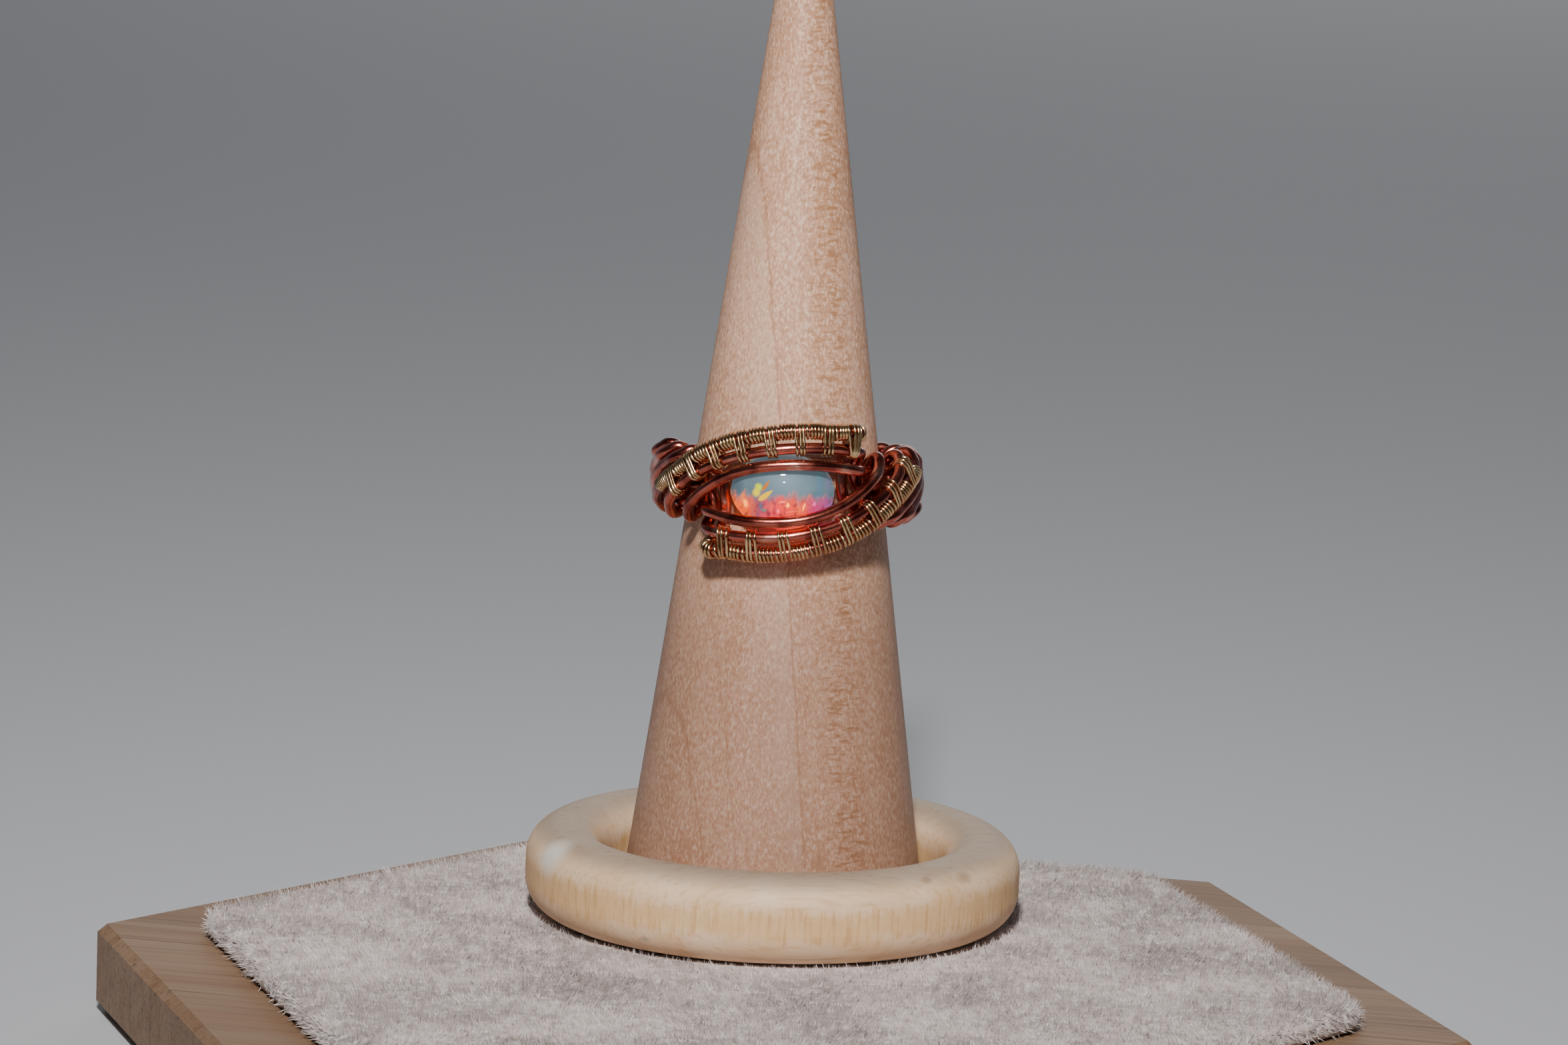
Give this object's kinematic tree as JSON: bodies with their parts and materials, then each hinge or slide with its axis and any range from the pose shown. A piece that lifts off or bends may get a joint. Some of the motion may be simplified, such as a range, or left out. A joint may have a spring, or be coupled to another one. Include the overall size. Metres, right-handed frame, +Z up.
{
  "type": "opal ring on a wooden cone stand",
  "caption": "Wire-wrapped copper finger ring with an oval opal cabochon, shown on a wooden cone with a loose wooden collar, on a velvet pad and a hexagonal bamboo board.",
  "frame": {"origin": "centre of the board's underside, where the stand rests", "axes": "+Z up along the cone, -Y towards the viewer and the stone's face, +X to the viewer's right"},
  "size_m": [0.1232, 0.1194, 0.1005],
  "materials": {
    "bamboo": "light laminated bamboo, satin",
    "velvet": "short-pile greyish beige velvet",
    "collar_wood": "smooth pale wood, bare",
    "cone_wood": "fine-grained pinkish tan wood, bare",
    "opal": "polished milky opal with a play of colour",
    "copper": "polished bare copper wire",
    "gold_wire": "gold-tone fine craft wire, polished"
  },
  "bodies": {
    "root": {"display_board": "bamboo", "velvet_pad": "velvet", "wooden_collar": "collar_wood", "ring_cone": "cone_wood", "opal_cabochon": "opal", "copper_wire_top": "copper", "copper_wire_middle": "copper", "copper_wire_bottom": "copper"}
  },
  "joints": []
}
